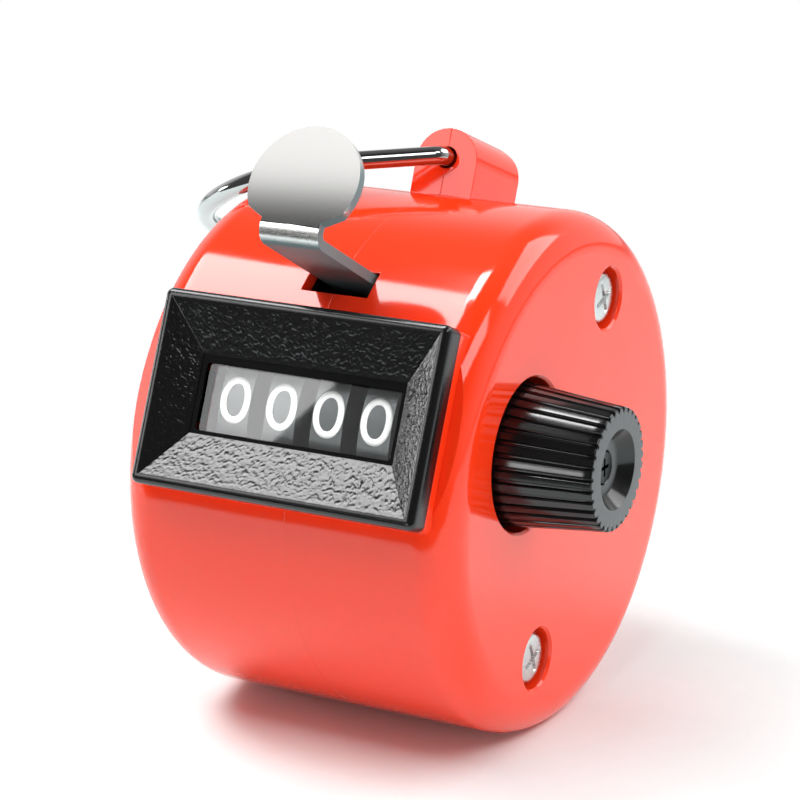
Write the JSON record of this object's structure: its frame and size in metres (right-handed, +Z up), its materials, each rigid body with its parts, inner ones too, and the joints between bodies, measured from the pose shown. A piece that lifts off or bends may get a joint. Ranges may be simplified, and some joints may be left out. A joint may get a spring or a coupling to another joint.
{
  "type": "hand tally counter",
  "caption": "Hand-held tally counter: a round drum with a window on number wheels, a sprung thumb lever, a ribbed reset knob and a wire finger ring.",
  "frame": {"origin": "centre of the flat under the drum, in the plane of the seam between the two drum halves", "axes": "+X along the drum's axis towards the reset knob, +Y towards the back, away from the window, +Z up"},
  "size_m": [0.0442, 0.0445, 0.0499],
  "materials": {
    "red_plastic": "gloss",
    "black_grained_plastic": "satin",
    "black_gloss_plastic": "gloss",
    "clear_plastic": "gloss",
    "grey_plastic": "satin",
    "bright_steel": "polished",
    "plain_steel": "satin",
    "brass": "satin"
  },
  "bodies": {
    "housing": {"left_shell": "red_plastic", "right_shell": "red_plastic", "window_bezel": "black_grained_plastic", "window_lens": "clear_plastic", "case_screws": "bright_steel", "mechanism_frame": "plain_steel", "lever_pivot_pin": "plain_steel", "return_spring": "plain_steel", "detent_spring": "plain_steel", "detent_rivets": "plain_steel"},
    "thumb_lever": {"thumb_lever": "bright_steel", "pawl_pin": "plain_steel", "pawl_spring": "plain_steel"},
    "pawl": {"pawl_comb": "plain_steel"},
    "reset_shaft": {"reset_shaft": "plain_steel", "reset_knob": "black_gloss_plastic", "knob_screw": "plain_steel", "shaft_clip": "plain_steel", "wheel_spacer": "plain_steel", "shaft_washer": "plain_steel"},
    "wheel_units": {"number_wheel_units": "grey_plastic", "reset_key_units": "brass"},
    "wheel_tens": {"number_wheel_tens": "grey_plastic", "reset_key_tens": "brass"},
    "wheel_hundreds": {"number_wheel_hundreds": "grey_plastic", "reset_key_hundreds": "brass"},
    "wheel_thousands": {"number_wheel_thousands": "grey_plastic", "reset_key_thousands": "brass"},
    "finger_ring": {"finger_ring": "bright_steel"}
  },
  "joints": [
    {"name": "lever_press", "type": "hinge", "parent": "housing", "child": "thumb_lever", "pos_m": [0, -0.00686, 0.0366], "axis": [1, 0, 0], "range_deg": [0, 11.5], "stiffness_Nm_per_rad": 0.05, "springref_deg": -34.38, "deforming": ["return_spring"]},
    {"name": "pawl_swing", "type": "hinge", "parent": "thumb_lever", "child": "pawl", "pos_m": [0, 0.00109, 0.03238], "axis": [1, 0, 0], "range_deg": [-17, 0], "deforming": ["pawl_spring"]},
    {"name": "knob_turn", "type": "hinge", "parent": "housing", "child": "reset_shaft", "pos_m": [0, -0.00814, 0.02472], "axis": [1, 0, 0], "continuous": true},
    {"name": "wheel_units_turn", "type": "hinge", "parent": "housing", "child": "wheel_units", "pos_m": [0.00615, -0.00814, 0.02472], "axis": [1, 0, 0], "continuous": true},
    {"name": "wheel_tens_turn", "type": "hinge", "parent": "housing", "child": "wheel_tens", "pos_m": [0.00205, -0.00814, 0.02472], "axis": [1, 0, 0], "continuous": true},
    {"name": "wheel_hundreds_turn", "type": "hinge", "parent": "housing", "child": "wheel_hundreds", "pos_m": [-0.00205, -0.00814, 0.02472], "axis": [1, 0, 0], "continuous": true},
    {"name": "wheel_thousands_turn", "type": "hinge", "parent": "housing", "child": "wheel_thousands", "pos_m": [-0.00615, -0.00814, 0.02472], "axis": [1, 0, 0], "continuous": true},
    {"name": "ring_swing", "type": "hinge", "parent": "housing", "child": "finger_ring", "pos_m": [0, 0.00869, 0.04267], "axis": [0, 0.9304, -0.3665], "range_deg": [0, 217]}
  ],
  "couplings": [
    {"joint": "pawl_swing", "follows": "lever_press", "ratio": -1.4275},
    {"joint": "wheel_units_turn", "follows": "knob_turn", "ratio": 1},
    {"joint": "wheel_tens_turn", "follows": "knob_turn", "ratio": 1},
    {"joint": "wheel_hundreds_turn", "follows": "knob_turn", "ratio": 1},
    {"joint": "wheel_thousands_turn", "follows": "knob_turn", "ratio": 1}
  ]
}
